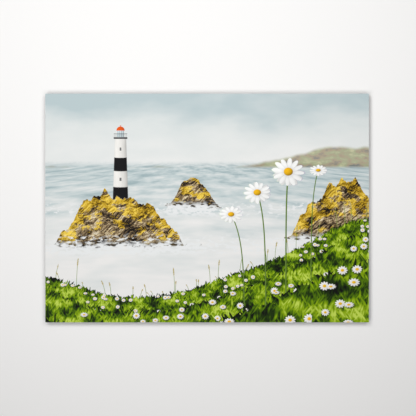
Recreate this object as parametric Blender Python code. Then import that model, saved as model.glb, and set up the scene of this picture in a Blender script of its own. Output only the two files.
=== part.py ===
"""A frameless wall print: a thin aluminium composite panel with a printed face.

A hidden sub-frame of four mitred C-section rails is bonded to the back with foam tape. The open side
of each rail looks inwards, so a wall hook slides up into the top rail and carries the print.

Metres, +Z up. The printed face looks along -Y and the wall is the plane y = 0. The origin is the middle
of the top rail's central felt pad, on the wall.
"""

import math

import bmesh
import bpy
from mathutils import Matrix, Vector

# Clearance left between two pieces that touch in the real print
GAP = 0.0003

# Panel: an A2 sheet lying on its long side
PANEL_WIDTH = 0.594
PANEL_HEIGHT = 0.420
PANEL_THICKNESS = 0.003
SKIN_THICKNESS = 0.0003
CORNER_RADIUS = 0.001
CORNER_STEPS = 4

# Rails: a web bonded to the panel, an outer wall, and a flange on the wall side
FRAME_INSET = 0.050
RAIL_DEPTH = 0.0065
RAIL_WEB = 0.020
RAIL_FLANGE = 0.011
RAIL_WALL = 0.001

# Foam tape under each web
TAPE_WIDTH = 0.015
TAPE_THICKNESS = 0.0005
TAPE_END_MARGIN = 0.023

# Corner keys inside the rails, and the grub screws that clamp them
KEY_LEG = 0.040
KEY_WIDTH = 0.0086
SCREW_RADIUS = 0.002
SCREW_FROM_CORNER = (0.018, 0.032)
SCREW_HEAD_BELOW_FLANGE = 0.0004
SOCKET_ACROSS_FLATS = 0.002
SOCKET_DEPTH = 0.0018
SCREW_SIDES = 24

# Felt pads on the wall side of the top and bottom rails
PAD_RADIUS = 0.0048
PAD_THICKNESS = 0.001
PAD_FROM_CORNER = 0.072
PAD_SIDES = 32

# Distances from the wall, worked out from the thicknesses above
FLANGE_BACK = PAD_THICKNESS + GAP
FLANGE_FRONT = FLANGE_BACK + RAIL_WALL
RAIL_FRONT = FLANGE_BACK + RAIL_DEPTH
WEB_BACK = RAIL_FRONT - RAIL_WALL
TAPE_BACK = RAIL_FRONT + GAP
PANEL_BACK = TAPE_BACK + TAPE_THICKNESS + GAP
PANEL_FRONT = PANEL_BACK + PANEL_THICKNESS

# Heights: z = 0 is the middle of the top rail's flange
FRAME_TOP = RAIL_FLANGE / 2
PANEL_CENTRE_Z = FRAME_TOP + FRAME_INSET - PANEL_HEIGHT / 2
FRAME_WIDTH = PANEL_WIDTH - 2 * FRAME_INSET
FRAME_HEIGHT = PANEL_HEIGHT - 2 * FRAME_INSET

# The four sides: name, rail length, distance from the centre, and the turn about Y from the top rail
SIDES = (
    ("top", FRAME_WIDTH, FRAME_HEIGHT / 2, 0.0),
    ("right", FRAME_HEIGHT, FRAME_WIDTH / 2, 90.0),
    ("bottom", FRAME_WIDTH, FRAME_HEIGHT / 2, 180.0),
    ("left", FRAME_HEIGHT, FRAME_WIDTH / 2, 270.0),
)
CORNERS = (
    ("top_right", 1, 1),
    ("bottom_right", 1, -1),
    ("bottom_left", -1, -1),
    ("top_left", -1, 1),
)


def clear_scene():
    for ob in list(bpy.data.objects):
        bpy.data.objects.remove(ob, do_unlink=True)


def material(name, colour, roughness, metallic):
    mat = bpy.data.materials.new(name)
    mat.use_nodes = True
    shader = mat.node_tree.nodes["Principled BSDF"]
    shader.inputs["Base Color"].default_value = (*colour, 1.0)
    shader.inputs["Roughness"].default_value = roughness
    shader.inputs["Metallic"].default_value = metallic
    return mat


def add_object(name, bm, mat):
    """Turns a bmesh into a named object of the scene, with its faces pointing out."""
    bmesh.ops.recalc_face_normals(bm, faces=bm.faces)
    mesh = bpy.data.meshes.new(name)
    bm.to_mesh(mesh)
    bm.free()
    mesh.materials.append(mat)
    ob = bpy.data.objects.new(name, mesh)
    bpy.context.scene.collection.objects.link(ob)
    return ob


def block(width, height, front, back, centre_z=0.0):
    """A bmesh box centred on x = 0, between two distances from the wall."""
    bm = bmesh.new()
    size = Matrix.Diagonal((width, front - back, height, 1.0))
    place = Matrix.Translation((0.0, -(front + back) / 2, centre_z))
    bmesh.ops.create_cube(bm, size=1.0, matrix=place @ size)
    return bm


def side_placement(side):
    """Takes a shape made for a rail along X, outer side up at z = 0, to its side of the frame."""
    _, _, distance, turn = side
    centre = Matrix.Translation((0.0, 0.0, PANEL_CENTRE_Z))
    return centre @ Matrix.Rotation(math.radians(turn), 4, "Y") @ Matrix.Translation((0.0, 0.0, distance))


def panel_layer(name, front, back, mat):
    """One layer of the sandwich panel, with its four corners eased."""
    bm = block(PANEL_WIDTH, PANEL_HEIGHT, front, back, PANEL_CENTRE_Z)
    corners = [e for e in bm.edges if abs(e.verts[0].co.y - e.verts[1].co.y) > (front - back) / 2]
    bmesh.ops.bevel(
        bm,
        geom=corners,
        offset=CORNER_RADIUS,
        segments=CORNER_STEPS,
        profile=0.5,
        affect="EDGES",
    )
    return add_object(name, bm, mat)


def add_panel(print_mat, core_mat, back_mat):
    front_inner = PANEL_FRONT - SKIN_THICKNESS
    back_inner = PANEL_BACK + SKIN_THICKNESS
    panel_layer("printed_skin", PANEL_FRONT, front_inner, print_mat)
    panel_layer("panel_core", front_inner - GAP, back_inner + GAP, core_mat)
    panel_layer("back_skin", back_inner, PANEL_BACK, back_mat)


def rail_profile():
    """The C section as (distance in from the outer side, distance from the wall)."""
    return (
        (0.0, FLANGE_BACK),
        (RAIL_FLANGE, FLANGE_BACK),
        (RAIL_FLANGE, FLANGE_FRONT),
        (RAIL_WALL, FLANGE_FRONT),
        (RAIL_WALL, WEB_BACK),
        (RAIL_WEB, WEB_BACK),
        (RAIL_WEB, RAIL_FRONT),
        (0.0, RAIL_FRONT),
    )


def add_rail(side, mat):
    """One rail: the section is extruded along X, and each end is cut back at 45 degrees."""
    name, length, _, _ = side
    end_trim = GAP / math.sqrt(2)
    half = length / 2 - end_trim
    bm = bmesh.new()
    section = bm.faces.new([bm.verts.new((-half, -depth, -inward)) for inward, depth in rail_profile()])
    swept = bmesh.ops.extrude_face_region(bm, geom=[section])["geom"]
    far_end = [v for v in swept if isinstance(v, bmesh.types.BMVert)]
    bmesh.ops.translate(bm, verts=far_end, vec=(2 * half, 0.0, 0.0))
    for v in bm.verts:
        inward = -v.co.z
        v.co.x -= math.copysign(inward, v.co.x)
    bmesh.ops.transform(bm, matrix=side_placement(side), verts=bm.verts)
    return add_object(f"rail_{name}", bm, mat)


def add_tape(side, mat):
    """The foam tape under a rail's web, a little shorter than the rail's inner edge."""
    name, length, _, _ = side
    middle = -RAIL_WEB / 2
    front = TAPE_BACK + TAPE_THICKNESS
    bm = block(length - 2 * TAPE_END_MARGIN, TAPE_WIDTH, front, TAPE_BACK, middle)
    bmesh.ops.transform(bm, matrix=side_placement(side), verts=bm.verts)
    return add_object(f"tape_{name}", bm, mat)


def drill(ob, places, radius):
    """Cuts a round hole right through a piece, along Y, at each (x, z) place."""
    for x, z in places:
        bm = bmesh.new()
        middle = Matrix.Translation((x, -(WEB_BACK + FLANGE_BACK) / 2, z))
        bmesh.ops.create_cone(
            bm,
            cap_ends=True,
            segments=SCREW_SIDES,
            radius1=radius,
            radius2=radius,
            depth=WEB_BACK - FLANGE_BACK + 2 * GAP,
            matrix=middle @ Matrix.Rotation(math.pi / 2, 4, "X"),
        )
        cutter = add_object(f"{ob.name}_drill", bm, ob.data.materials[0])
        cutter.hide_render = True
        cutter.display_type = "WIRE"
        cut = ob.modifiers.new("screw_hole", "BOOLEAN")
        cut.operation = "DIFFERENCE"
        cut.solver = "EXACT"
        cut.object = cutter


def corner_point(sx, sz):
    """The outer corner of the sub-frame, as (x, z)."""
    return sx * FRAME_WIDTH / 2, PANEL_CENTRE_Z + sz * FRAME_HEIGHT / 2


def key_middle():
    """How far in from the outer side of a rail the middle of its key runs."""
    return RAIL_WALL + GAP + KEY_WIDTH / 2


def screw_places(sx, sz):
    """The (rail, x, z) of the grub screws of one corner: two in each leg of the key."""
    x, z = corner_point(sx, sz)
    across = "top" if sz > 0 else "bottom"
    upright = "right" if sx > 0 else "left"
    along = [(across, x - sx * reach, z - sz * key_middle()) for reach in SCREW_FROM_CORNER]
    down = [(upright, x - sx * key_middle(), z - sz * reach) for reach in SCREW_FROM_CORNER]
    return along + down


def add_key(corner, mat):
    """An L-shaped corner key that fills the rails' channels on both sides of a mitre."""
    name, sx, sz = corner
    x, z = corner_point(sx, sz)
    near = RAIL_WALL + GAP
    far = near + KEY_WIDTH
    outline = ((near, near), (KEY_LEG, near), (KEY_LEG, far), (far, far), (far, KEY_LEG), (near, KEY_LEG))
    back = FLANGE_FRONT + GAP
    front = WEB_BACK - GAP
    bm = bmesh.new()
    face = bm.faces.new([bm.verts.new((x - sx * u, -back, z - sz * w)) for u, w in outline])
    swept = bmesh.ops.extrude_face_region(bm, geom=[face])["geom"]
    front_verts = [v for v in swept if isinstance(v, bmesh.types.BMVert)]
    bmesh.ops.translate(bm, verts=front_verts, vec=(0.0, back - front, 0.0))
    key = add_object(f"corner_key_{name}", bm, mat)
    drill(key, [(px, pz) for _, px, pz in screw_places(sx, sz)], SCREW_RADIUS + GAP)
    return key


def screw_mesh(mat):
    """A grub screw with a hexagon socket in the end that faces the wall. Its middle is the mesh's origin."""
    length = WEB_BACK - GAP - FLANGE_BACK - SCREW_HEAD_BELOW_FLANGE
    bm = bmesh.new()
    face_wall = Matrix.Rotation(-math.pi / 2, 4, "X")
    bmesh.ops.create_cone(
        bm,
        cap_ends=True,
        segments=SCREW_SIDES,
        radius1=SCREW_RADIUS,
        radius2=SCREW_RADIUS,
        depth=length,
        matrix=face_wall,
    )
    rim = max(bm.faces, key=lambda f: f.calc_center_median().y)
    bmesh.ops.inset_region(bm, faces=[rim], thickness=SCREW_RADIUS * 0.35, use_even_offset=True)
    socket = max(bm.faces, key=lambda f: f.normal.y * f.calc_area())
    corner_reach = SOCKET_ACROSS_FLATS / math.sqrt(3)
    for v in socket.verts:
        angle = math.atan2(v.co.z, v.co.x)
        sector = (angle % (math.pi / 3)) - math.pi / 6
        reach = corner_reach * math.cos(math.pi / 6) / math.cos(sector)
        v.co.x = reach * math.cos(angle)
        v.co.z = reach * math.sin(angle)
    sunk = bmesh.ops.extrude_face_region(bm, geom=[socket])["geom"]
    bmesh.ops.delete(bm, geom=[socket], context="FACES_ONLY")
    floor = [v for v in sunk if isinstance(v, bmesh.types.BMVert)]
    bmesh.ops.translate(bm, verts=floor, vec=(0.0, -SOCKET_DEPTH, 0.0))
    bmesh.ops.recalc_face_normals(bm, faces=bm.faces)
    mesh = bpy.data.meshes.new("grub_screw")
    bm.to_mesh(mesh)
    bm.free()
    mesh.materials.append(mat)
    mesh.shade_smooth()
    mesh.set_sharp_from_angle(angle=math.radians(40))
    return mesh


def add_corner(corner, rails, key_mat, shared_screw):
    """A corner key with its four grub screws, and the screws' holes in the two rails."""
    name, sx, sz = corner
    add_key(corner, key_mat)
    middle = -(WEB_BACK - GAP + FLANGE_BACK + SCREW_HEAD_BELOW_FLANGE) / 2
    for number, (rail, x, z) in enumerate(screw_places(sx, sz), start=1):
        screw = bpy.data.objects.new(f"grub_screw_{name}_{number}", shared_screw)
        screw.location = Vector((x, middle, z))
        bpy.context.scene.collection.objects.link(screw)
        drill(rails[rail], [(x, z)], SCREW_RADIUS + GAP)


def add_pad(name, x, z, mat):
    """A felt disc between a rail's flange and the wall."""
    bm = bmesh.new()
    turn = Matrix.Rotation(math.pi / 2, 4, "X")
    bmesh.ops.create_cone(
        bm,
        cap_ends=True,
        segments=PAD_SIDES,
        radius1=PAD_RADIUS,
        radius2=PAD_RADIUS,
        depth=PAD_THICKNESS,
        matrix=Matrix.Translation((x, -PAD_THICKNESS / 2, z)) @ turn,
    )
    return add_object(name, bm, mat)


def add_pads(mat):
    top_z = 0.0
    bottom_z = FRAME_TOP - FRAME_HEIGHT + RAIL_FLANGE / 2
    reach = FRAME_WIDTH / 2 - PAD_FROM_CORNER
    for row, z in (("top", top_z), ("bottom", bottom_z)):
        for place, x in (("left", -reach), ("middle", 0.0), ("right", reach)):
            add_pad(f"pad_{row}_{place}", x, z, mat)


def main():
    clear_scene()
    print_mat = material("printed_face", (0.47, 0.51, 0.45), 0.50, 0.0)
    core_mat = material("panel_core", (0.035, 0.035, 0.037), 0.60, 0.0)
    back_mat = material("back_lacquer", (0.055, 0.055, 0.058), 0.42, 0.0)
    rail_mat = material("rail_aluminium", (0.80, 0.81, 0.82), 0.32, 1.0)
    tape_mat = material("foam_tape", (0.25, 0.25, 0.26), 0.80, 0.0)
    key_mat = material("key_zinc", (0.50, 0.51, 0.52), 0.45, 1.0)
    screw_mat = material("screw_steel", (0.10, 0.10, 0.11), 0.35, 1.0)
    felt_mat = material("felt", (0.20, 0.19, 0.185), 0.95, 0.0)

    add_panel(print_mat, core_mat, back_mat)
    rails = {side[0]: add_rail(side, rail_mat) for side in SIDES}
    for side in SIDES:
        add_tape(side, tape_mat)
    shared_screw = screw_mesh(screw_mat)
    for corner in CORNERS:
        add_corner(corner, rails, key_mat, shared_screw)
    add_pads(felt_mat)


main()
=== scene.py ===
import math

import bmesh
import bpy
from mathutils import Matrix, Vector


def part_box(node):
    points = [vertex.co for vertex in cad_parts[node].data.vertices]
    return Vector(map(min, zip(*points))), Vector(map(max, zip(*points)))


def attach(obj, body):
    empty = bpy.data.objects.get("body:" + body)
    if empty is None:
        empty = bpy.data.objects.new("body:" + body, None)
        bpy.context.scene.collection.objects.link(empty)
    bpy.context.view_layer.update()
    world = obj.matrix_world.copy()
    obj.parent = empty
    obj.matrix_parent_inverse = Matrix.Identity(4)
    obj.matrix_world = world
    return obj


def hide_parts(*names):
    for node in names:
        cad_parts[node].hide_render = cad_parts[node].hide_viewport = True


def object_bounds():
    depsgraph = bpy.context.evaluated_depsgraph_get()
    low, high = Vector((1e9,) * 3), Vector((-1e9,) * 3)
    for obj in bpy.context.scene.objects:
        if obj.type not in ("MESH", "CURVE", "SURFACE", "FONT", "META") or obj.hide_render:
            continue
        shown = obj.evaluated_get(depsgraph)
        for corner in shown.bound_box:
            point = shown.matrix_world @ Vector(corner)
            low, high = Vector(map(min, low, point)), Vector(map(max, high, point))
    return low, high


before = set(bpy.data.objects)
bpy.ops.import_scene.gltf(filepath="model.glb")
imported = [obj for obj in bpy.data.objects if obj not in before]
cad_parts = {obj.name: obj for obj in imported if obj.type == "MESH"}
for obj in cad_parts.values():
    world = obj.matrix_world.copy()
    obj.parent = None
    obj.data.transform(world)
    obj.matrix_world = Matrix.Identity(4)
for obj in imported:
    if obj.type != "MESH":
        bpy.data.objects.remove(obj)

cad_low, cad_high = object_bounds()


# ------------------------------------------------------------------ The room
# A plain pale wall that the print's felt pads touch, and a pale floor well below it. The wall is painted
# plaster on its front and can't be seen from behind, so that the back of the print can be looked at.

WALL_WIDTH = 2.4
WALL_TOP = 2.2
FLOOR_BELOW_PRINT = 1.45
FLOOR_WIDTH = 22.0
WALL_PAINT = (0.875, 0.868, 0.858)
FLOOR_PAINT = (0.72, 0.71, 0.69)
PLASTER_CELLS = 260.0
PLASTER_GRAIN = 0.00005

face_low, face_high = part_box("printed_skin")
print_middle = Vector((0.0, face_low[1], (face_low[2] + face_high[2]) / 2))
floor_height = face_low[2] - FLOOR_BELOW_PRINT


def new_material(name):
    """A node material with its Principled shader, and that shader."""
    mat = bpy.data.materials.new(name)
    mat.use_nodes = True
    return mat, mat.node_tree.nodes["Principled BSDF"]


def object_from(name, bm, *materials):
    """A finished mesh object at the origin, in the scene."""
    mesh = bpy.data.meshes.new(name)
    bm.to_mesh(mesh)
    bm.free()
    for mat in materials:
        mesh.materials.append(mat)
    ob = bpy.data.objects.new(name, mesh)
    bpy.context.scene.collection.objects.link(ob)
    return ob


def rectangle(name, width, depth, place, mat):
    bm = bmesh.new()
    size = Matrix.Diagonal((width, depth, 1.0, 1.0))
    bmesh.ops.create_grid(bm, x_segments=1, y_segments=1, size=0.5, matrix=place @ size)
    return object_from(name, bm, mat)


def painted_wall():
    mat, shader = new_material("wall_paint")
    nodes, links = mat.node_tree.nodes, mat.node_tree.links
    shader.inputs["Base Color"].default_value = (*WALL_PAINT, 1.0)
    shader.inputs["Roughness"].default_value = 0.9
    shader.inputs["Specular IOR Level"].default_value = 0.2
    where = nodes.new("ShaderNodeTexCoord")
    plaster = nodes.new("ShaderNodeTexNoise")
    plaster.inputs["Scale"].default_value = PLASTER_CELLS
    plaster.inputs["Detail"].default_value = 5.0
    links.new(where.outputs["Object"], plaster.inputs["Vector"])
    bump = nodes.new("ShaderNodeBump")
    bump.inputs["Distance"].default_value = PLASTER_GRAIN
    links.new(plaster.outputs["Fac"], bump.inputs["Height"])
    links.new(bump.outputs["Normal"], shader.inputs["Normal"])
    unseen = nodes.new("ShaderNodeBsdfTransparent")
    side = nodes.new("ShaderNodeNewGeometry")
    seen = nodes.new("ShaderNodeMixShader")
    links.new(side.outputs["Backfacing"], seen.inputs["Fac"])
    links.new(shader.outputs["BSDF"], seen.inputs[1])
    links.new(unseen.outputs["BSDF"], seen.inputs[2])
    links.new(seen.outputs["Shader"], nodes["Material Output"].inputs["Surface"])
    return mat


def painted_floor():
    mat, shader = new_material("floor_paint")
    shader.inputs["Base Color"].default_value = (*FLOOR_PAINT, 1.0)
    shader.inputs["Roughness"].default_value = 0.7
    return mat


wall_height = WALL_TOP - floor_height
upright = Matrix.Rotation(math.pi / 2, 4, "X")
wall_place = Matrix.Translation((0.0, cad_high[1], floor_height + wall_height / 2)) @ upright
wall = rectangle("wall", WALL_WIDTH, wall_height, wall_place, painted_wall())
wall.visible_shadow = False
floor_place = Matrix.Translation((0.0, 0.0, floor_height))
floor = rectangle("floor", FLOOR_WIDTH, FLOOR_WIDTH, floor_place, painted_floor())
floor.visible_diffuse = False


# ------------------------------------------------------------------ Light and camera
# Four soft lights stand round the camera, as for copying a picture, the brightest at the upper left. They
# put a thin soft shadow on all four sides of the print and no glare on it. A light overhead shines on the
# floor alone, and one behind the wall shows the back in the views from there.

SOFTBOX_AWAY = 1.75
SOFTBOX_WIDTH = 1.15
SOFTBOX_SPREAD = 115.0
SOFTBOX_AIM_UP = 0.40
SOFTBOXES = {
    "upper_left": (-0.70, 0.90, 8.8),
    "upper_right": (0.66, 0.90, 5.1),
    "lower_left": (-0.70, -0.62, 5.5),
    "lower_right": (0.66, -0.62, 3.4),
}
BACK_LIGHT_WIDTH = 2.4
BACK_LIGHT_WATTS = 70.0
BACK_LIGHT_PLACE = (-1.3, 2.4, 1.5)
OVERHEAD_STRENGTH = 2.3
OVERHEAD_SOFTNESS = 2.0
SKY_WHITE = (1.0, 0.995, 0.99)
SKY_LIGHT = 0.03
SKY_SEEN = 0.62
LENS = 85.0
SEEN_WIDTH = 1.2855 * (face_high[0] - face_low[0])
CAMERA_ASIDE = 0.0016


def soft_light(name, width, watts, place, target):
    lamp = bpy.data.lights.new(name, "AREA")
    lamp.shape = "DISK"
    lamp.size = width
    lamp.energy = watts
    ob = bpy.data.objects.new(name, lamp)
    ob.location = place
    ob.rotation_euler = (target - place).to_track_quat("-Z", "Y").to_euler()
    ob.visible_camera = False
    bpy.context.scene.collection.objects.link(ob)
    return lamp


for name, (aside, up, watts) in SOFTBOXES.items():
    softbox_place = print_middle + Vector((aside, -SOFTBOX_AWAY, up))
    aim = print_middle + Vector((0.0, 0.0, SOFTBOX_AIM_UP))
    softbox = soft_light(f"softbox_{name}", SOFTBOX_WIDTH, watts, softbox_place, aim)
    softbox.spread = math.radians(SOFTBOX_SPREAD)
back_light_place = print_middle + Vector(BACK_LIGHT_PLACE)
soft_light("back_light", BACK_LIGHT_WIDTH, BACK_LIGHT_WATTS, back_light_place, print_middle)
overhead = bpy.data.lights.new("overhead_light", "SUN")
overhead.energy = OVERHEAD_STRENGTH
overhead.angle = math.radians(OVERHEAD_SOFTNESS)
overhead_light = bpy.data.objects.new("overhead_light", overhead)
bpy.context.scene.collection.objects.link(overhead_light)
floor_alone = bpy.data.collections.new("floor_alone")
floor_alone.objects.link(floor)
overhead_light.light_linking.receiver_collection = floor_alone


def pale_studio():
    """The world: a pale backdrop to look at, which sheds much less light than it shows."""
    world = bpy.data.worlds.new("pale_studio")
    world.use_nodes = True
    nodes, links = world.node_tree.nodes, world.node_tree.links
    seen = nodes.new("ShaderNodeLightPath")
    strength = nodes.new("ShaderNodeMapRange")
    strength.inputs["To Min"].default_value = SKY_LIGHT
    strength.inputs["To Max"].default_value = SKY_SEEN
    links.new(seen.outputs["Is Camera Ray"], strength.inputs["Value"])
    links.new(strength.outputs["Result"], nodes["Background"].inputs["Strength"])
    nodes["Background"].inputs["Color"].default_value = (*SKY_WHITE, 1.0)
    return world


bpy.context.scene.world = pale_studio()
bpy.context.scene.view_settings.view_transform = "Standard"

lens = bpy.data.cameras.new("camera")
lens.lens = LENS
half_angle = math.atan(lens.sensor_width / 2 / LENS)
camera = bpy.data.objects.new("camera", lens)
camera.location = print_middle + Vector((CAMERA_ASIDE, -SEEN_WIDTH / 2 / math.tan(half_angle), 0.0))
camera.rotation_euler = (math.pi / 2, 0.0, 0.0)
bpy.context.scene.collection.objects.link(camera)
bpy.context.scene.camera = camera


# ------------------------------------------------------------------ The printed skin
# The front of the composite sheet: 0.3 mm of aluminium under a satin print film. Its picture is a seaside
# meadow: haze over pale water, a lighthouse on a lichened rock, daisies on a green bank. It is drawn with
# nodes, in centimetres from the middle of the sheet, x to the right and y up.

EASED_CORNER = 0.001
CORNER_STEPS = 5
CUT_BURR = 0.00005
FILM_ROUGHNESS = 0.5
FILM_SHINE = 0.08
CUT_METAL = (0.80, 0.81, 0.82)
CENTIMETRES = 100.0
HORIZON = 8.2
BANK_BOTTOM = -15.8
BANK_RISE_LEFT = 2.2
BANK_RISE_RIGHT = 13.0


def srgb(red, green, blue):
    """A screen colour, 0 to 255, as the linear colour that a shader takes."""
    return tuple((c / 255.0) ** 2.2 for c in (red, green, blue)) + (1.0,)


def feed(socket, value):
    """Links a socket to an amount, or sets it to a plain number or colour."""
    if isinstance(value, Amount):
        value = value.socket
    if isinstance(value, bpy.types.NodeSocket):
        socket.id_data.links.new(value, socket)
    else:
        socket.default_value = value


class Amount:
    """A number that varies over the sheet. Its sums and products are Math nodes in its own node tree."""

    def __init__(self, socket):
        self.socket = socket

    def by(self, operation, *others):
        """What one Math node makes of this amount and the others."""
        node = self.socket.id_data.nodes.new("ShaderNodeMath")
        node.operation = operation
        for socket, value in zip(node.inputs, (self, *others)):
            feed(socket, value)
        return Amount(node.outputs[0])

    def __add__(self, other):
        return self.by("ADD", other)

    def __sub__(self, other):
        return self.by("SUBTRACT", other)

    def __mul__(self, other):
        return self.by("MULTIPLY", other)

    def __truediv__(self, other):
        return self.by("DIVIDE", other)

    def __rsub__(self, other):
        return (self * -1.0) + other

    def ease(self, low, high):
        """0 at low, 1 at high, and smooth between them. Low may be above high."""
        node = self.socket.id_data.nodes.new("ShaderNodeMapRange")
        node.interpolation_type = "SMOOTHSTEP"
        for socket, value in zip(node.inputs, (self, low, high, 0.0, 1.0)):
            feed(socket, value)
        return Amount(node.outputs[0])


def at(x, y):
    """A place on the sheet, as a vector."""
    node = x.socket.id_data.nodes.new("ShaderNodeCombineXYZ")
    feed(node.inputs["X"], x)
    feed(node.inputs["Y"], y)
    return node.outputs["Vector"]


def length(x, y):
    return (x * x + y * y).by("SQRT")


def mottle(x, y, detail=2.0, roughness=0.5, curl=0.0):
    """Soft noise from about 0.2 to 0.8, whose patches are one unit wide."""
    place = at(x, y)
    node = x.socket.id_data.nodes.new("ShaderNodeTexNoise")
    node.noise_dimensions = "2D"
    node.inputs["Scale"].default_value = 1.0
    node.inputs["Detail"].default_value = detail
    node.inputs["Roughness"].default_value = roughness
    node.inputs["Distortion"].default_value = curl
    feed(node.inputs["Vector"], place)
    return Amount(node.outputs["Fac"])


def scatter(x, y, looseness=1.0):
    """One spot in each unit square: how far the nearest is, two random numbers of its own, its place."""
    nodes = x.socket.id_data.nodes
    place = at(x, y)
    node = nodes.new("ShaderNodeTexVoronoi")
    node.voronoi_dimensions = "2D"
    node.inputs["Scale"].default_value = 1.0
    node.inputs["Randomness"].default_value = looseness
    feed(node.inputs["Vector"], place)
    chance = nodes.new("ShaderNodeSeparateColor")
    feed(chance.inputs["Color"], node.outputs["Color"])
    spot = nodes.new("ShaderNodeSeparateXYZ")
    feed(spot.inputs["Vector"], node.outputs["Position"])
    return (
        Amount(node.outputs["Distance"]),
        Amount(chance.outputs[0]),
        Amount(chance.outputs[1]),
        Amount(spot.outputs["X"]),
        Amount(spot.outputs["Y"]),
    )


def blend(share, under, over):
    """The under colour with the over colour laid on it, where the share is 1."""
    node = share.socket.id_data.nodes.new("ShaderNodeMix")
    node.data_type = "RGBA"
    feed(node.inputs["Factor"], share)
    feed(node.inputs["A"], under)
    feed(node.inputs["B"], over)
    return node.outputs["Result"]


def ramp(amount, *stops):
    """A colour that runs through the stops, each a share and a colour."""
    node = amount.socket.id_data.nodes.new("ShaderNodeValToRGB")
    band = node.color_ramp
    while len(band.elements) < len(stops):
        band.elements.new(0.5)
    for element, (share, colour) in zip(band.elements, stops):
        element.position = share
        element.color = colour
    feed(node.inputs["Fac"], amount)
    return node.outputs["Color"]


def shade(colour, amount):
    """A colour made lighter or darker by an amount around 1."""
    node = amount.socket.id_data.nodes.new("ShaderNodeVectorMath")
    node.operation = "SCALE"
    feed(node.inputs[0], colour[:3] if isinstance(colour, tuple) else colour)
    feed(node.inputs["Scale"], amount)
    return node.outputs["Vector"]


HAZE = ((0.0, srgb(226, 227, 225)), (0.5, srgb(212, 217, 216)), (1.0, srgb(178, 193, 196)))
WATER = (
    (0.0, srgb(152, 171, 175)),
    (0.3, srgb(188, 200, 201)),
    (0.6, srgb(213, 217, 216)),
    (1.0, srgb(230, 229, 227)),
)
FAR_FIELDS = (
    (0.28, srgb(78, 76, 62)),
    (0.42, srgb(146, 122, 78)),
    (0.54, srgb(138, 144, 88)),
    (0.72, srgb(182, 178, 124)),
)
STONE = (
    (0.12, srgb(15, 14, 14)),
    (0.34, srgb(66, 54, 41)),
    (0.58, srgb(156, 132, 96)),
    (0.88, srgb(228, 214, 180)),
)
LICHEN = ((0.14, srgb(54, 40, 8)), (0.5, srgb(188, 150, 34)), (0.88, srgb(240, 208, 88)))
WET_STONE = srgb(24, 22, 21)
FOAM = srgb(226, 228, 228)
TOWER_WHITE = srgb(236, 234, 229)
TOWER_BLACK = srgb(24, 24, 26)
WINDOW_PANE = srgb(52, 56, 60)
LANTERN_GLASS = srgb(206, 220, 224)
GLAZING_BAR = srgb(40, 42, 44)
GALLERY_IRON = srgb(58, 58, 60)
RAILING_IRON = srgb(44, 44, 46)
DOME_ORANGE = srgb(226, 92, 34)
GRASS = (
    (0.16, srgb(6, 12, 1)),
    (0.38, srgb(36, 58, 2)),
    (0.57, srgb(82, 116, 4)),
    (0.75, srgb(134, 164, 12)),
    (0.94, srgb(186, 208, 84)),
)
SHADED_GRASS = srgb(12, 22, 4)
STALK_GREEN = srgb(118, 142, 60)
SEED_TAN = srgb(190, 172, 116)
SMALL_DAISY = {"white": srgb(240, 239, 235), "yellow": srgb(232, 184, 40)}
TALL_DAISY = {"white": srgb(241, 241, 239), "yellow": srgb(236, 180, 30), "green": srgb(98, 124, 54)}


def motif(name, amounts, draw):
    """A node group that draws one thing: it takes the named amounts, and puts out a colour and a mask."""
    tree = bpy.data.node_groups.new(name, "ShaderNodeTree")
    for amount in amounts:
        tree.interface.new_socket(amount, in_out="INPUT", socket_type="NodeSocketFloat")
    tree.interface.new_socket("Colour", in_out="OUTPUT", socket_type="NodeSocketColor")
    tree.interface.new_socket("Mask", in_out="OUTPUT", socket_type="NodeSocketFloat")
    given = tree.nodes.new("NodeGroupInput")
    result = tree.nodes.new("NodeGroupOutput")
    colour, mask = draw(*(Amount(given.outputs[amount]) for amount in amounts))
    feed(result.inputs["Colour"], colour)
    feed(result.inputs["Mask"], mask)
    return tree


def lay(tree, group, under, x, y, **amounts):
    """The under colour with a motif laid on it, which the ink beneath draws aside by up to 0.01 mm."""
    ink = tree.nodes.new("ShaderNodeSeparateColor")
    feed(ink.inputs["Color"], under)
    node = tree.nodes.new("ShaderNodeGroup")
    node.node_tree = group
    amounts = {"x": x + Amount(ink.outputs[1]) * 0.001, "y": y, **amounts}
    for name, value in amounts.items():
        feed(node.inputs[name], value)
    return blend(Amount(node.outputs["Mask"]), under, node.outputs["Colour"])


def bank_top(x):
    """How high the green bank stands at x: low on the left, and climbing towards the right edge."""
    swell = (x * 0.21 + 1.3).by("SINE") * 0.7
    rise = x.ease(-6.0, 30.0) * BANK_RISE_RIGHT + x.ease(-17.0, -31.0) * BANK_RISE_LEFT
    return rise + swell + BANK_BOTTOM


def draw_sea(x, y):
    """Haze over water. Ripples grow wider and softer from the horizon to the shore."""
    cloud = mottle(x * 0.07 + 4.0, y * 0.16, detail=3.0, roughness=0.55)
    sky = ramp(y.ease(HORIZON - 0.5, 21.0) + (cloud - 0.5) * 0.9, *HAZE)
    near = (HORIZON - y).by("MAXIMUM", 0.0) + 2.2
    across = x / near
    out = near.by("LOGARITHM", math.e)
    swell = mottle(across * 1.4 + 7.0, out * 6.5, detail=2.0, roughness=0.5)
    chop = mottle(across * 5.0 + 2.0, out * 22.0, detail=1.0, roughness=0.5)
    gleam = (swell - 0.5) * 1.05 + (chop - 0.5) * 0.25
    water = ramp(y.ease(HORIZON, -9.0) * 0.62 + gleam + 0.25, *WATER)
    return blend(y.ease(HORIZON + 0.6, HORIZON - 0.8), sky, water)


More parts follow.
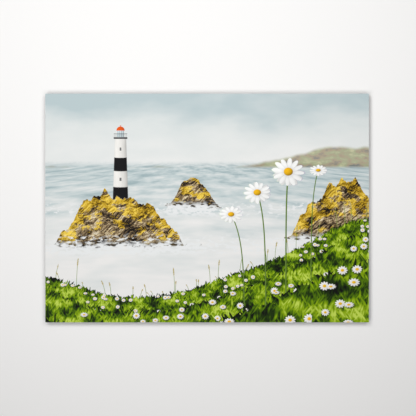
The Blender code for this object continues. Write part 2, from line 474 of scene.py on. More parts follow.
def draw_headland(x, y, under):
    """A far green headland in the haze, out of focus, on the right."""
    ridge = x.ease(2.0, 27.0) * 4.0 + (mottle(x * 0.16, x * 0.0) - 0.5) * 2.2 + HORIZON - 0.95
    land = (y - ridge).ease(0.4, -0.4) * y.ease(HORIZON - 1.0, HORIZON - 0.4)
    fields = mottle(x * 0.35, y * 0.8, detail=3.0, roughness=0.6)
    return blend(land * 0.74, under, ramp(fields + (y - HORIZON) * 0.03 - 0.04, *FAR_FIELDS))


def band(amount, low, high, soft):
    """1 between low and high, with soft ends."""
    return amount.ease(low - soft, low + soft) * amount.ease(high + soft, high - soft)


def draw_rock(x, y, middle, reach, height, foot, crust):
    """A rock in the shallows: tan and grey stone, ochre lichen, a dark wet foot and foam round it."""
    from_middle = ((x - middle) / reach).by("ABSOLUTE")
    square = from_middle * from_middle
    hump = ((square * square * 0.7 + square * 0.4) * -1.0).by("EXPONENT")
    crest = (hump * 1.1 - from_middle.ease(1.3, 1.8) * 0.4 - 0.12) * height + foot
    crest = crest + (mottle(x * 0.26, middle, detail=4.0, roughness=0.54) - 0.5) * height * 0.8
    waterline = (mottle(x * 0.5 + 9.0, middle, detail=2.0) - 0.5) * 1.2 + foot
    stone = (y - crest).ease(0.07, -0.07) * (y - waterline).ease(-0.25, 0.25)
    warp = (mottle(x * 0.4, y * 0.4 + 5.0) - 0.5) * 1.1

    def surface(across, up):
        u = (x + across) * 0.36 + (y + up) * 0.10 + warp
        v = (y + up) * 0.52 - (x + across) * 0.12 + warp
        boulder = scatter(u, v)[0]
        return mottle(u * 1.6, v * 1.6, detail=6.0, roughness=0.68) - boulder * 0.5

    here = surface(0.0, 0.0)
    mass = mottle(x * 0.22 + y * 0.12, y * 0.16 - x * 0.05, detail=1.0)
    relief = (here - surface(-0.09, 0.11)) * 3.2 + (mass - 0.5) * 0.9 + 0.5
    colour = ramp(relief * 0.85 + here * 0.6 - 0.19, *STONE)
    patches = mottle(x * 0.42 + 3.0, y * 0.6, detail=5.0, roughness=0.68)
    grown = (patches + (y - crest) * 0.03 + relief * 0.08 + crust).ease(0.46, 0.55)
    colour = blend(grown, colour, ramp(relief * 0.95 + here * 0.4 - 0.08, *LICHEN))
    colour = blend((y - waterline).ease(1.7, 0.3) * 0.85, colour, WET_STONE)
    spray = mottle(x * 0.9, y * 2.0, detail=4.0) + from_middle.ease(1.6, 1.0) * 0.16
    foam = band(y - waterline, -1.5, 0.7, 0.6) * spray.ease(0.52, 0.66)
    colour = blend(foam.by("MAXIMUM", 1.0 - stone), colour, FOAM)
    return colour, stone.by("MAXIMUM", foam)


def draw_lighthouse(x, y, middle, foot, height):
    """A round white tower with two black bands, a railed gallery, a glazed lantern and an orange dome."""
    up = (y - foot) / height
    half = (up * -0.034 + 0.098) * height
    side = (x - middle) / half
    roundness = (1.0 - (side * side).by("MINIMUM", 1.0)).by("SQRT")
    light = roundness * 0.30 - side * 0.20 + 0.62
    soft = 0.05
    tower = side.by("ABSOLUTE").ease(1.0 + soft, 1.0 - soft) * band(up, -0.12, 0.80, 0.004)
    curve = up + roundness * 0.008
    stain = (mottle(x * 2.2, y * 0.5, detail=3.0) - 0.5) * 0.16
    black = (band(curve, -0.30, 0.20, 0.004) + band(curve, 0.40, 0.57, 0.004)).by("MINIMUM", 1.0)
    body = shade(blend(black, TOWER_WHITE, TOWER_BLACK), light + stain)
    storey = band(curve, 0.28, 0.32, 0.004) + band(curve, 0.66, 0.70, 0.004)
    pane = band(side, -0.14, 0.14, 0.06) * storey
    body = blend(pane * 0.85, body, WINDOW_PANE)
    from_middle = ((x - middle) / height).by("ABSOLUTE")
    deck = from_middle.ease(0.088, 0.084) * band(up, 0.80, 0.822, 0.003)
    rail_posts = ((x - middle) / height * 90.0).by("FRACT").ease(0.72, 0.82)
    railing = from_middle.ease(0.086, 0.083) * band(up, 0.822, 0.868, 0.002)
    railing = railing * (rail_posts * 0.75 + band(up, 0.862, 0.868, 0.002)).by("MINIMUM", 1.0)
    lantern = from_middle.ease(0.046, 0.043) * band(up, 0.822, 0.905, 0.003)
    glazing = ((x - middle) / height * 44.0 + 0.5).by("FRACT").ease(0.16, 0.06)
    glass = shade(blend(glazing, LANTERN_GLASS, GLAZING_BAR), light)
    dome_up = (up - 0.905) / 0.052
    dome = length(from_middle / 0.052, dome_up).ease(1.03, 0.97) * dome_up.ease(-0.05, 0.03)
    tip = length(from_middle, up - 0.965).ease(0.0085, 0.006)
    colour = blend(deck, body, shade(GALLERY_IRON, light))
    colour = blend(lantern, colour, glass)
    colour = blend(railing, colour, RAILING_IRON)
    colour = blend(dome.by("MAXIMUM", tip), colour, shade(DOME_ORANGE, light))
    mask = tower.by("MAXIMUM", deck).by("MAXIMUM", lantern).by("MAXIMUM", railing)
    mask = mask.by("MAXIMUM", dome).by("MAXIMUM", tip)
    return colour, mask


def blades(x, y, rise, size, lean, seed):
    """Leaves that all lean one way, one to a cell, and how light each is. A missing one counts as -1."""
    bend = (mottle(x * 0.16 / size + seed, y * 0.16 / size) - 0.5) * 2.4
    long_way = y / (size * 0.95)
    wide_way = (x - y * lean) / (size * 0.26) + bend
    off, chance, _, cell_x, cell_y = scatter(wide_way + seed * 7.0, long_way + bend * 0.7)
    leaf_y = cell_y * size * 0.95
    leaf_x = (cell_x - seed * 7.0 - bend) * (size * 0.26) + leaf_y * lean
    rooted = (bank_top(leaf_x) + rise).by("GREATER_THAN", leaf_y)
    facet = (cell_x - (wide_way + seed * 7.0)) * 0.22
    tone = chance * 0.62 + (1.0 - off) * 0.42 + facet
    return (tone + 1.0) * rooted - 1.0


def draw_grass(x, y, rise, size):
    """One depth of the bank: leaves and blades that cross each other, darker where they lie deep."""
    tone = blades(x, y, rise, size, 0.05, 3.0)
    for lean, seed in ((0.75, 11.0), (-0.6, 23.0), (0.3, 31.0)):
        tone = tone.by("MAXIMUM", blades(x, y, rise, size, lean, seed))
    hollow = mottle(x * 0.22 / size, y * 0.34 / size, detail=3.0, roughness=0.6)
    return ramp(tone * 0.9 + (hollow - 0.5) * 1.55 - 0.10, *GRASS), tone.ease(-0.9, -0.5)


def draw_daisies(x, y, rise, size, seed):
    """Daisies in drifts over one depth of the bank, one to a cell, with white rays and a yellow eye."""
    _, chance, second, cell_x, cell_y = scatter(x / size + seed, y / size + seed, looseness=0.9)
    flower_x = (cell_x - seed) * size
    flower_y = (cell_y - seed) * size
    drift = mottle(flower_x * 0.14 + seed, flower_y * 0.24 + seed, detail=1.0) * 2.6
    grows = (drift + chance * 0.55).by("GREATER_THAN", 1.52)
    grows = grows * (bank_top(flower_x) + rise - flower_y).by("GREATER_THAN", size * 0.2)
    reach = size * (second * 0.13 + 0.25)
    tilt = chance * 0.4 + 0.5
    dx = (x - flower_x) / reach
    dy = (y - flower_y) / (reach * tilt)
    radius = length(dx, dy)
    angle = dy.by("ARCTAN2", dx) + second * 6.0
    petals = (angle * 11.0).by("COSINE")
    edge = petals * 0.13 + 0.87
    ray = (radius / edge).ease(1.06, 0.92)
    light = (dy - dx) * 0.08 + petals * 0.05 + chance * 0.06 + 0.84
    white = shade(SMALL_DAISY["white"], light)
    eye = radius.ease(0.36, 0.28)
    yellow = shade(SMALL_DAISY["yellow"], (dy - dx) * 0.35 + 0.95)
    cast = length(dx - 0.22, dy + 0.34).ease(1.25, 0.75) * 0.7
    colour = blend(ray, SHADED_GRASS, blend(eye, white, yellow))
    return colour, (ray + cast).by("MINIMUM", 1.0) * grows


def draw_stalks(x, y, rise, seed, spacing):
    """Thin flowering grasses that stand up out of the bank, one to a strip, each bent its own way."""
    strip = x / spacing + seed
    number = strip.by("FLOOR")
    chance = (((number + seed) * 12.9898).by("SINE") * 43758.5).by("FRACT").by("ABSOLUTE")
    second = (chance * 91.7).by("FRACT")
    third = (chance * 713.3).by("FRACT")
    foot_x = (number - seed + 0.35 + third * 0.3) * spacing
    tall = second * second * 4.2 + 1.2
    share = (y - bank_top(foot_x) - rise) / tall
    bend = (third - 0.5) * spacing * 1.1
    off = x - foot_x - share * share * bend
    stem = off.by("ABSOLUTE").ease(0.06, 0.02) * share.ease(0.98, 0.90)
    grains = (share * tall * 14.0 + off * 20.0).by("SINE") * 0.22 + 0.85
    swell = (band(share, 0.72, 0.97, 0.07) * 0.13 + 0.001) * grains
    ear = (off.by("ABSOLUTE") / swell).ease(1.3, 0.6) * band(share, 0.7, 0.99, 0.01)
    colour = blend(ear, STALK_GREEN, shade(SEED_TAN, grains))
    grows = (mottle(foot_x * 0.22, foot_x * 0.0 + seed) + chance * 0.35).by("GREATER_THAN", 0.67)
    return colour, stem.by("MAXIMUM", ear) * grows


def draw_tall_daisy(x, y, head_x, head_y, size, tilt, turn, sway):
    """One ox-eye daisy close up: two rings of rays, a domed yellow eye, and a long bowed stem."""
    dx = (x - head_x) / size
    dy = (y - head_y) / (size * tilt)
    radius = length(dx, dy)
    angle = dy.by("ARCTAN2", dx) / math.tau + turn
    rays = []
    for count, shift, reach, tone in ((13.0, 0.5, 0.97, 0.76), (12.0, 0.0, 1.0, 0.97)):
        sector = angle * count + shift
        number = sector.by("FLOOR")
        own = (number * 12.9898 + turn * 7.0 + shift).by("SINE") * 43.7
        own = own.by("FRACT").by("ABSOLUTE")
        aside = (sector - number - 0.5 + (own - 0.5) * 0.22) * radius * (math.tau / count)
        tall = (radius - 0.58) / ((own * 0.08 + 0.34) * reach)
        wide = aside / (own * 0.03 + 0.128)
        shape = (tall * tall + wide * wide).ease(1.10, 0.92)
        groove = (aside * 95.0).by("COSINE") * 0.025
        light = groove - wide * 0.05 - wide * wide * 0.09 + (dy - dx) * 0.05
        light = light - radius.ease(0.55, 0.2) * 0.2
        rays.append((shape, shade(TALL_DAISY["white"], light + own * 0.05 + tone)))
    (back, back_white), (front, front_white) = rays
    white = blend(front, back_white, front_white)
    ray = back.by("MAXIMUM", front)
    eye_radius = length(dx, dy - 0.03) / 0.27
    florets = scatter(dx * 17.0, dy * 17.0, looseness=0.7)[0]
    dome = (dy - dx) * 1.0 - eye_radius * eye_radius * 0.30 - florets * 0.30 + 1.02
    yellow = shade(TALL_DAISY["yellow"], dome)
    eye = eye_radius.ease(1.06, 0.95)
    head = ray.by("MAXIMUM", eye)
    drop = (head_y - y).by("MAXIMUM", 0.0)
    bow = (1.0 - (drop * -0.22).by("EXPONENT")) * 4.5 * sway
    stem_off = (x - head_x - bow) / (size * 0.032 + 0.03)
    stem = stem_off.by("ABSOLUTE").ease(1.2, 0.8) * (head_y - y).ease(0.0, 0.05)
    stem_green = shade(TALL_DAISY["green"], 0.95 - stem_off * 0.3)
    colour = blend(head, stem_green, blend(eye, white, yellow))
    return colour, head.by("MAXIMUM", stem)


def draw_picture(tree):
    """The whole picture, from the farthest thing to the nearest. Gives back its colour."""
    nodes = tree.nodes
    where = nodes.new("ShaderNodeTexCoord")
    centred = nodes.new("ShaderNodeMapping")
    centred.inputs["Location"].default_value = (0.0, 0.0, -CENTIMETRES * print_middle.z)
    centred.inputs["Scale"].default_value = (CENTIMETRES, CENTIMETRES, CENTIMETRES)
    tree.links.new(where.outputs["Object"], centred.inputs["Vector"])
    parts = nodes.new("ShaderNodeSeparateXYZ")
    tree.links.new(centred.outputs["Vector"], parts.inputs["Vector"])
    x, y = Amount(parts.outputs["X"]), Amount(parts.outputs["Z"])
    grass = motif("grass", ("x", "y", "rise", "size"), draw_grass)
    daisies = motif("daisies", ("x", "y", "rise", "size", "seed"), draw_daisies)
    stalks = motif("stalks", ("x", "y", "rise", "seed", "spacing"), draw_stalks)
    rock = motif("rock", ("x", "y", "middle", "reach", "height", "foot", "crust"), draw_rock)
    lighthouse = motif("lighthouse", ("x", "y", "middle", "foot", "height"), draw_lighthouse)
    daisy_amounts = ("x", "y", "head_x", "head_y", "size", "tilt", "turn", "sway")
    tall_daisy = motif("tall_daisy", daisy_amounts, draw_tall_daisy)
    colour = draw_sea(x, y)
    colour = draw_headland(x, y, colour)
    layers = [
        (rock, {"middle": -2.6, "reach": 3.8, "height": 5.4, "foot": 0.2, "crust": -0.03}),
        (lighthouse, {"middle": -15.9, "foot": 1.0, "height": 14.6}),
        (rock, {"middle": -15.6, "reach": 11.0, "height": 9.6, "foot": -7.1, "crust": 0.04}),
        (rock, {"middle": 25.4, "reach": 9.0, "height": 10.0, "foot": -5.8, "crust": 0.05}),
        (stalks, {"rise": 0.0, "seed": 3.0, "spacing": 1.3}),
        (stalks, {"rise": -0.4, "seed": 11.3, "spacing": 2.1}),
        (grass, {"rise": 0.0, "size": 0.8}),
        (daisies, {"rise": 0.4, "size": 1.25, "seed": 5.0}),
        (grass, {"rise": -3.2, "size": 1.25}),
    ]
    for head_x, head_y, size, tilt, turn, sway in (
        (20.4, 6.9, 1.7, 0.62, 0.12, -0.30),
        (4.4, -1.2, 2.2, 0.72, 0.55, 0.55),
        (14.9, 6.6, 3.1, 0.88, 0.31, -0.10),
        (9.2, 2.8, 2.6, 0.80, 0.03, 0.35),
    ):
        head = {"head_x": head_x, "head_y": head_y, "size": size}
        layers.append((tall_daisy, {"tilt": tilt, "turn": turn, "sway": sway, **head}))
    layers += [
        (daisies, {"rise": -2.6, "size": 2.1, "seed": 17.0}),
        (grass, {"rise": -8.0, "size": 1.9}),
        (daisies, {"rise": -7.2, "size": 3.2, "seed": 29.0}),
    ]
    for group, amounts in layers:
        colour = lay(tree, group, colour, x, y, **amounts)
    return colour


def print_film():
    mat, shader = new_material("print_film")
    feed(shader.inputs["Base Color"], draw_picture(mat.node_tree))
    shader.inputs["Roughness"].default_value = FILM_ROUGHNESS
    shader.inputs["Specular IOR Level"].default_value = FILM_SHINE
    return mat


def cut_aluminium():
    mat, shader = new_material("cut_aluminium")
    shader.inputs["Base Color"].default_value = (*CUT_METAL, 1.0)
    shader.inputs["Metallic"].default_value = 1.0
    shader.inputs["Roughness"].default_value = 0.35
    return mat


def ease_edges(bm, edges, offset, steps, clamp=False):
    """Rounds edges off in a few steps, or with one step cuts a chamfer along them."""
    bmesh.ops.bevel(
        bm,
        geom=edges,
        offset=offset,
        segments=steps,
        profile=0.5,
        affect="EDGES",
        material=-1,
        clamp_overlap=clamp,
    )


def run_in_depth(edge):
    """How far an edge runs from the front to the back."""
    return abs(edge.verts[0].co.y - edge.verts[1].co.y)


def sheet_layer(front, back, inset=0.0):
    """A plate as large as the print, between two depths, with its four corners and its rims eased."""
    width = face_high[0] - face_low[0] - 2 * inset
    height = face_high[2] - face_low[2] - 2 * inset
    thickness = back - front
    bm = bmesh.new()
    size = Matrix.Diagonal((width, thickness, height, 1.0))
    place = Matrix.Translation((0.0, (front + back) / 2, print_middle.z))
    bmesh.ops.create_cube(bm, size=1.0, matrix=place @ size)
    ease_edges(bm, [e for e in bm.edges if run_in_depth(e) > thickness / 2], EASED_CORNER, CORNER_STEPS)
    ease_edges(bm, [e for e in bm.edges if run_in_depth(e) < thickness / 2], CUT_BURR, 1)
    return bm


def map_sheet(bm, box, outward, share=0.98):
    """A map named OFBake: the outward face fills the top of the square, and the edges a strip below."""
    layer = bm.loops.layers.uv.new("OFBake")
    low, high = box
    width, height = high[0] - low[0], high[2] - low[2]
    for face in bm.faces:
        outer = face.normal.y * outward > 0.9
        for loop in face.loops:
            across = (loop.vert.co.x - low[0]) / width
            up = (loop.vert.co.z - low[2]) / height
            strip = (loop.vert.co.y - low[1]) / (high[1] - low[1])
            if outer:
                loop[layer].uv = (across, 1.0 - share + share * up)
            else:
                loop[layer].uv = (across * 0.5 + up * 0.5, (1.0 - share) * 0.8 * strip)


face_bm = sheet_layer(face_low[1], face_high[1])
map_sheet(face_bm, (face_low, face_high), -1)
for face in face_bm.faces:
    face.material_index = 0 if face.normal.y < -0.9 else 1
print_face = object_from("print_face", face_bm, print_film(), cut_aluminium())
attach(print_face, "root")
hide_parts("printed_skin")


# ------------------------------------------------------------------ The core and the back skin
# Behind the print lie 2.4 mm of black polyethylene and a second 0.3 mm skin with a dark grey lacquer. The
# three layers are bonded in a rolling mill, and one saw cut goes through them all at the sheet's edge.

CORE_SET_IN = 0.00008
CORE_BLACK = ((0.012, 0.012, 0.013), (0.030, 0.030, 0.032))
LACQUER_GREY = ((0.040, 0.041, 0.043), (0.064, 0.065, 0.068))
SCUFF_GREY = (0.22, 0.225, 0.23)
SCUFF_SHARE = 0.16

back_low, back_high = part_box("back_skin")


def place_on(mat, scale):
    """Object coordinates, stretched by a scale along each axis."""
    nodes, links = mat.node_tree.nodes, mat.node_tree.links
    where = nodes.new("ShaderNodeTexCoord")
    stretch = nodes.new("ShaderNodeMapping")
    stretch.inputs["Scale"].default_value = scale
    links.new(where.outputs["Object"], stretch.inputs["Vector"])
    return stretch.outputs["Vector"]


def mill_marks_group():
    """Streaks for metal that rolls, dies or saws have run over: broad bands, with fine lines in them."""
    tree = bpy.data.node_groups.new("mill_marks", "ShaderNodeTree")
    tree.interface.new_socket("Place", in_out="INPUT", socket_type="NodeSocketVector")
    tree.interface.new_socket("Fine Share", in_out="INPUT", socket_type="NodeSocketFloat")
    tree.interface.new_socket("Streak", in_out="OUTPUT", socket_type="NodeSocketFloat")
    nodes, links = tree.nodes, tree.links
    given = nodes.new("NodeGroupInput")
    result = nodes.new("NodeGroupOutput")
    broad = nodes.new("ShaderNodeTexNoise")
    broad.inputs["Scale"].default_value = 1.0
    broad.inputs["Detail"].default_value = 2.0
    fine = nodes.new("ShaderNodeTexNoise")
    fine.inputs["Scale"].default_value = 7.0
    fine.inputs["Detail"].default_value = 4.0
    fine.inputs["Roughness"].default_value = 0.7
    both = nodes.new("ShaderNodeMix")
    for noise in (broad, fine):
        links.new(given.outputs["Place"], noise.inputs["Vector"])
    links.new(given.outputs["Fine Share"], both.inputs["Factor"])
    links.new(broad.outputs["Fac"], both.inputs["A"])
    links.new(fine.outputs["Fac"], both.inputs["B"])
    links.new(both.outputs["Result"], result.inputs["Streak"])
    return tree


mill_marks = mill_marks_group()


def streaks(mat, scale, fine_share):
    """The mill marks on a material, for a place stretched by a scale along each axis."""
    node = mat.node_tree.nodes.new("ShaderNodeGroup")
    node.node_tree = mill_marks
    node.inputs["Fine Share"].default_value = fine_share
    mat.node_tree.links.new(place_on(mat, scale), node.inputs["Place"])
    return Amount(node.outputs["Streak"])


def range_of(amount, low, high):
    """An amount of about 0.3 to 0.7 spread over a range, such as a roughness."""
    node = amount.socket.id_data.nodes.new("ShaderNodeMapRange")
    for socket, value in zip(node.inputs, (amount, 0.3, 0.7, low, high)):
        feed(socket, value)
    return node.outputs["Result"]


def raise_by(shader, height, distance):
    """Bumps a shader's surface by a height of 0 to 1, as deep as a distance in metres."""
    bump = shader.id_data.nodes.new("ShaderNodeBump")
    bump.inputs["Distance"].default_value = distance
    feed(bump.inputs["Height"], height)
    shader.id_data.links.new(bump.outputs["Normal"], shader.inputs["Normal"])


def sawn_polyethylene():
    mat, shader = new_material("sawn_polyethylene")
    saw = streaks(mat, (900.0, 60.0, 900.0), 0.5)
    dark, smeared = CORE_BLACK
    feed(shader.inputs["Base Color"], ramp(saw, (0.35, (*dark, 1.0)), (0.7, (*smeared, 1.0))))
    feed(shader.inputs["Roughness"], range_of(saw, 0.42, 0.68))
    raise_by(shader, saw, 0.00004)
    return mat


def grey_lacquer():
    mat, shader = new_material("grey_lacquer")
    rolled = streaks(mat, (2.0, 1.0, 240.0), 0.35)
    patches = mat.node_tree.nodes.new("ShaderNodeTexNoise")
    patches.inputs["Scale"].default_value = 9.0
    patches.inputs["Detail"].default_value = 5.0
    feed(patches.inputs["Vector"], place_on(mat, (1.0, 1.0, 1.0)))
    cloud = Amount(patches.outputs["Fac"])
    drawn = streaks(mat, (7.0, 7.0, 90.0), 0.0)
    scuff = (drawn - 0.52).by("ABSOLUTE").ease(0.009, 0.001) * cloud.ease(0.57, 0.68)
    dull, light = LACQUER_GREY
    lacquer = ramp(rolled * 0.5 + cloud * 0.5, (0.3, (*dull, 1.0)), (0.7, (*light, 1.0)))
    feed(shader.inputs["Base Color"], blend(scuff * SCUFF_SHARE, lacquer, (*SCUFF_GREY, 1.0)))
    feed(shader.inputs["Roughness"], range_of(rolled * 0.4 + cloud * 0.6, 0.34, 0.50))
    raise_by(shader, rolled - scuff * 0.6, 0.000012)
    return mat


core_bm = sheet_layer(face_high[1], back_low[1], CORE_SET_IN)
core = object_from("panel_core_sheet", core_bm, sawn_polyethylene())
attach(core, "root")
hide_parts("panel_core")

back_bm = sheet_layer(back_low[1], back_high[1])
map_sheet(back_bm, (back_low, back_high), 1)
for face in back_bm.faces:
    face.material_index = 0 if face.normal.y > 0.9 else 1
back_sheet = object_from("back_sheet", back_bm, grey_lacquer(), cut_aluminium())
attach(back_sheet, "root")
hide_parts("back_skin")


# ------------------------------------------------------------------ The rails
# Four lengths of extruded aluminium channel, mill finished, mitred into a frame that sets the print off the
# wall. Each has its open side inwards, a locating groove in the web and holes in the flange for the screws.

RAIL_WALL = 0.001
RAIL_FLANGE = 0.011
RAIL_EDGE = 0.00018
GROOVE_FROM_BACK = 0.0155
GROOVE_HALF = 0.0003
MITRE_TRIM = 0.0001
HOLE_RADIUS = 0.0023
HOLE_SIDES = 32
MILL_ALUMINIUM = ((0.62, 0.63, 0.64), (0.78, 0.79, 0.80))

frame_low = Vector((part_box("rail_left")[0][0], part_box("rail_top")[0][1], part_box("rail_bottom")[0][2]))
frame_high = Vector((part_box("rail_right")[1][0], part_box("rail_top")[1][1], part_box("rail_top")[1][2]))
frame_middle = (frame_low + frame_high) / 2
rail_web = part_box("rail_top")[1][2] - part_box("rail_top")[0][2]
SIDES = {
    "top": (0.0, frame_high[0] - frame_low[0], (frame_high[2] - frame_low[2]) / 2),
    "right": (90.0, frame_high[2] - frame_low[2], (frame_high[0] - frame_low[0]) / 2),
    "bottom": (180.0, frame_high[0] - frame_low[0], (frame_high[2] - frame_low[2]) / 2),
    "left": (270.0, frame_high[2] - frame_low[2], (frame_high[0] - frame_low[0]) / 2),
}


def to_side(side):
    """Takes a shape made along X, with its outer side at z = 0, to its side of the frame."""
    turn, _, distance = SIDES[side]
    centre = Matrix.Translation((0.0, 0.0, frame_middle.z))
    return centre @ Matrix.Rotation(math.radians(turn), 4, "Y") @ Matrix.Translation((0.0, 0.0, distance))


def mill_aluminium(name, scale):
    """Bare extruded aluminium whose die lines run along the axis with the small scale."""
    mat, shader = new_material(name)
    die_lines = streaks(mat, scale, 0.6)
    patch = streaks(mat, (30.0, 30.0, 30.0), 0.25)
    dull, bright = MILL_ALUMINIUM
    metal = ramp(die_lines * 0.55 + patch * 0.45, (0.32, (*dull, 1.0)), (0.66, (*bright, 1.0)))
    feed(shader.inputs["Base Color"], metal)
    shader.inputs["Metallic"].default_value = 1.0
    feed(shader.inputs["Roughness"], range_of(die_lines * 0.6 + patch * 0.4, 0.26, 0.46))
    raise_by(shader, die_lines, 0.00003)
    return mat


def cylinder(bm, radius, depth, middle, sides):
    """A capped cylinder whose axis runs from the front to the back."""
    bmesh.ops.create_cone(
        bm,
        cap_ends=True,
        segments=sides,
        radius1=radius,
        radius2=radius,
        depth=depth,
        matrix=Matrix.Translation(middle) @ Matrix.Rotation(math.pi / 2, 4, "X"),
    )


def screw_holes(side):
    """The cutters for the holes in one rail's flange, where that rail's grub screws are."""
    bm = bmesh.new()
    rail_low, rail_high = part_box(f"rail_{side}")
    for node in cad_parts:
        if not node.startswith("grub_screw"):
            continue
        screw_low, screw_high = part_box(node)
        x, _, z = (screw_low + screw_high) / 2
        if rail_low[0] < x < rail_high[0] and rail_low[2] < z < rail_high[2]:
            cylinder(bm, HOLE_RADIUS, 4 * RAIL_WALL, (x, frame_high[1], z), HOLE_SIDES)
    return bm


def cut_from(ob, cutter_bm):
    """Cuts a shape out of a piece for good, and removes the cutter."""
    cutter = object_from("cutter", cutter_bm)
    cut = ob.modifiers.new("cut", "BOOLEAN")
    cut.operation = "DIFFERENCE"
    cut.solver = "EXACT"
    cut.object = cutter
    bpy.context.view_layer.update()
    finished = bpy.data.meshes.new_from_object(ob.evaluated_get(bpy.context.evaluated_depsgraph_get()))
    ob.modifiers.clear()
    ob.data = finished
    bpy.data.objects.remove(cutter)


def smooth_over(ob, degrees=30.0):
    ob.data.shade_smooth()
    ob.data.set_sharp_from_angle(angle=math.radians(degrees))


def rail(side, metal):
    """One channel: a section drawn out along X, with eased edges, mitred ends and drilled holes."""
    back, front = frame_high[1], frame_low[1]
    web_back = front + RAIL_WALL
    section = (
        (0.0, back),
        (RAIL_FLANGE, back),
        (RAIL_FLANGE, back - RAIL_WALL),
        (RAIL_WALL, back - RAIL_WALL),
        (RAIL_WALL, web_back),
        (GROOVE_FROM_BACK - GROOVE_HALF, web_back),
        (GROOVE_FROM_BACK, web_back - GROOVE_HALF),
        (GROOVE_FROM_BACK + GROOVE_HALF, web_back),
        (rail_web, web_back),
        (rail_web, front),
        (0.0, front),
    )
    half = SIDES[side][1] / 2
    bm = bmesh.new()
    outline = bm.faces.new([bm.verts.new((-half, y, -inward)) for inward, y in section])
    drawn = bmesh.ops.extrude_face_region(bm, geom=[outline])["geom"]
    far_end = [v for v in drawn if isinstance(v, bmesh.types.BMVert)]
    bmesh.ops.translate(bm, verts=far_end, vec=(2 * half, 0.0, 0.0))
    bmesh.ops.recalc_face_normals(bm, faces=bm.faces)
    long_edges = [e for e in bm.edges if abs(e.verts[0].co.x - e.verts[1].co.x) > half]
    ease_edges(bm, long_edges, RAIL_EDGE, 2, clamp=True)
    for end in (-1, 1):
        mitre = bmesh.ops.bisect_plane(
            bm,
            geom=bm.verts[:] + bm.edges[:] + bm.faces[:],
            plane_co=(end * (half - MITRE_TRIM), 0.0, 0.0),
            plane_no=(end, 0.0, -1.0),
            clear_outer=True,
        )
        cut_edges = [e for e in mitre["geom_cut"] if isinstance(e, bmesh.types.BMEdge)]
        bmesh.ops.contextual_create(bm, geom=cut_edges)
    bmesh.ops.recalc_face_normals(bm, faces=bm.faces)
    bmesh.ops.transform(bm, matrix=to_side(side), verts=bm.verts)
    piece = object_from(f"channel_{side}", bm, metal)
    cut_from(piece, screw_holes(side))
    smooth_over(piece)
    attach(piece, "root")
    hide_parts(f"rail_{side}")


metal_across = mill_aluminium("mill_aluminium_across", (3.0, 700.0, 700.0))
metal_upright = mill_aluminium("mill_aluminium_upright", (700.0, 700.0, 3.0))
for side in SIDES:
    rail(side, metal_across if side in ("top", "bottom") else metal_upright)


# ------------------------------------------------------------------ The bond lines
# A strip of double-sided foam tape under each rail's web holds the frame on the back skin. It is
# closed-cell foam, squeezed to the full gap between them, so its cut sides swell out a little.

TAPE_SWELL = 0.0004
# The foam's grey, and a darker tone painted in as shade in the pits between its cells.
FOAM_GREY_AND_PIT_SHADE = ((0.08, 0.08, 0.085), (0.22, 0.22, 0.23))
FOAM_CELLS = 2600.0


def closed_cell_foam():
    mat, shader = new_material("closed_cell_foam")
    cells = mat.node_tree.nodes.new("ShaderNodeTexVoronoi")
    cells.inputs["Scale"].default_value = FOAM_CELLS
    feed(cells.inputs["Vector"], place_on(mat, (1.0, 1.0, 1.0)))
    from_middle = Amount(cells.outputs["Distance"])
    # The foam's grey is painted darker down in the dips between the raised cells: painted shade in the
    # pits.
    deep, skin = FOAM_GREY_AND_PIT_SHADE
    feed(shader.inputs["Base Color"], ramp(from_middle, (0.15, (*skin, 1.0)), (0.75, (*deep, 1.0))))
    feed(shader.inputs["Roughness"], range_of(from_middle, 0.72, 0.9))
    raise_by(shader, 1.0 - from_middle, 0.00008)
    return mat


def squeezed_strip(side, foam):
    """The tape of one side, as long and wide as its CAD solid, and as thick as the gap it fills."""
    tape_low, tape_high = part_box(f"tape_{side}")
    front, back = back_high[1], frame_low[1]
    middle = (tape_low + tape_high) / 2
    size = Matrix.Diagonal((tape_high[0] - tape_low[0], back - front, tape_high[2] - tape_low[2], 1.0))
    place = Matrix.Translation((middle.x, (front + back) / 2, middle.z))
    bm = bmesh.new()
    bmesh.ops.create_cube(bm, size=1.0, matrix=place @ size)
    ease_edges(bm, bm.edges[:], TAPE_SWELL, 3)
    piece = object_from(f"foam_tape_{side}", bm, foam)
    smooth_over(piece, 40.0)
    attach(piece, "root")
    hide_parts(f"tape_{side}")


foam = closed_cell_foam()
for side in SIDES:
    squeezed_strip(side, foam)


# ------------------------------------------------------------------ The corner keys and their grub screws
# An L-shaped key of die-cast zinc joins the rails inside each mitre. Four steel grub screws with a black
# oxide finish clamp it, through the holes in the flanges.

ZINC = ((0.30, 0.31, 0.32), (0.46, 0.47, 0.48))
BLACK_OXIDE = ((0.035, 0.035, 0.037), (0.075, 0.074, 0.072))
SCREW_CHAMFER = 0.00025
SOCKET_SIDES = 6
SOCKET_RADIUS = 0.00116
SOCKET_DEPTH = 0.0013


def cast_zinc():
    mat, shader = new_material("cast_zinc")
    skin = streaks(mat, (160.0, 160.0, 160.0), 0.6)
    dark, light = ZINC
    feed(shader.inputs["Base Color"], ramp(skin, (0.35, (*dark, 1.0)), (0.65, (*light, 1.0))))
    shader.inputs["Metallic"].default_value = 1.0
    feed(shader.inputs["Roughness"], range_of(skin, 0.40, 0.62))
    raise_by(shader, skin, 0.00006)
    return mat


def oxide_steel():
    mat, shader = new_material("oxide_steel")
    worn = streaks(mat, (900.0, 900.0, 900.0), 0.4)
    black, rubbed = BLACK_OXIDE
    feed(shader.inputs["Base Color"], ramp(worn, (0.45, (*black, 1.0)), (0.66, (*rubbed, 1.0))))
    shader.inputs["Metallic"].default_value = 1.0
    feed(shader.inputs["Roughness"], range_of(worn, 0.30, 0.48))
    return mat


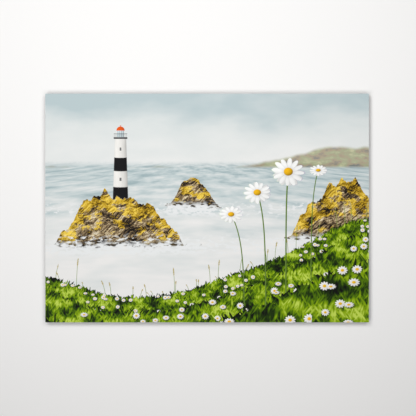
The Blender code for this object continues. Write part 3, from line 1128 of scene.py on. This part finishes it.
def grub_screw(node, steel):
    """One screw: a chamfered cylinder with a 2 mm hexagon socket in the end that faces the wall."""
    low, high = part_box(node)
    middle = (low + high) / 2
    radius, depth = (high[0] - low[0]) / 2, high[1] - low[1]
    bm = bmesh.new()
    cylinder(bm, radius, depth, middle, HOLE_SIDES)
    ease_edges(bm, [e for e in bm.edges if run_in_depth(e) < depth / 2], SCREW_CHAMFER, 1)
    socket_bm = bmesh.new()
    mouth = (middle.x, high[1], middle.z)
    cylinder(socket_bm, SOCKET_RADIUS, 2 * SOCKET_DEPTH, mouth, SOCKET_SIDES)
    piece = object_from(f"socket_{node}", bm, steel)
    cut_from(piece, socket_bm)
    smooth_over(piece)
    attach(piece, "root")
    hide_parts(node)


key_zinc, screw_steel = cast_zinc(), oxide_steel()
for node, ob in sorted(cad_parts.items()):
    if node.startswith("corner_key"):
        for slot in ob.material_slots:
            slot.material = key_zinc
    elif node.startswith("grub_screw"):
        grub_screw(node, screw_steel)


# ------------------------------------------------------------------ The felt pads
# Six stick-on discs of pressed wool felt, 1 mm thick, on the flanges of the top and bottom rails. They keep
# the metal off the paint and let the print slide along a little when it is hung.

PAD_ROUNDING = 0.00028
PAD_SIDES = 48
FELT_GREY = ((0.10, 0.095, 0.09), (0.26, 0.25, 0.24))


def pressed_felt():
    mat, shader = new_material("pressed_felt")
    fibres = streaks(mat, (1500.0, 1500.0, 1500.0), 0.5)
    clumps = streaks(mat, (420.0, 900.0, 300.0), 0.3)
    fuzz = fibres * 0.6 + clumps * 0.4
    dark, light = FELT_GREY
    feed(shader.inputs["Base Color"], ramp(fuzz, (0.36, (*dark, 1.0)), (0.62, (*light, 1.0))))
    feed(shader.inputs["Roughness"], range_of(fuzz, 0.88, 1.0))
    shader.inputs["Sheen Weight"].default_value = 0.3
    shader.inputs["Sheen Roughness"].default_value = 0.6
    raise_by(shader, fuzz, 0.00025)
    return mat


def felt_disc(node, felt):
    low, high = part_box(node)
    radius, thickness = (high[0] - low[0]) / 2, high[1] - low[1]
    bm = bmesh.new()
    cylinder(bm, radius, thickness, (low + high) / 2, PAD_SIDES)
    ease_edges(bm, [e for e in bm.edges if run_in_depth(e) < thickness / 2], PAD_ROUNDING, 3)
    piece = object_from(f"felt_{node}", bm, felt)
    smooth_over(piece, 50.0)
    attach(piece, "root")
    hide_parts(node)


felt = pressed_felt()
for node in sorted(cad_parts):
    if node.startswith("pad_"):
        felt_disc(node, felt)
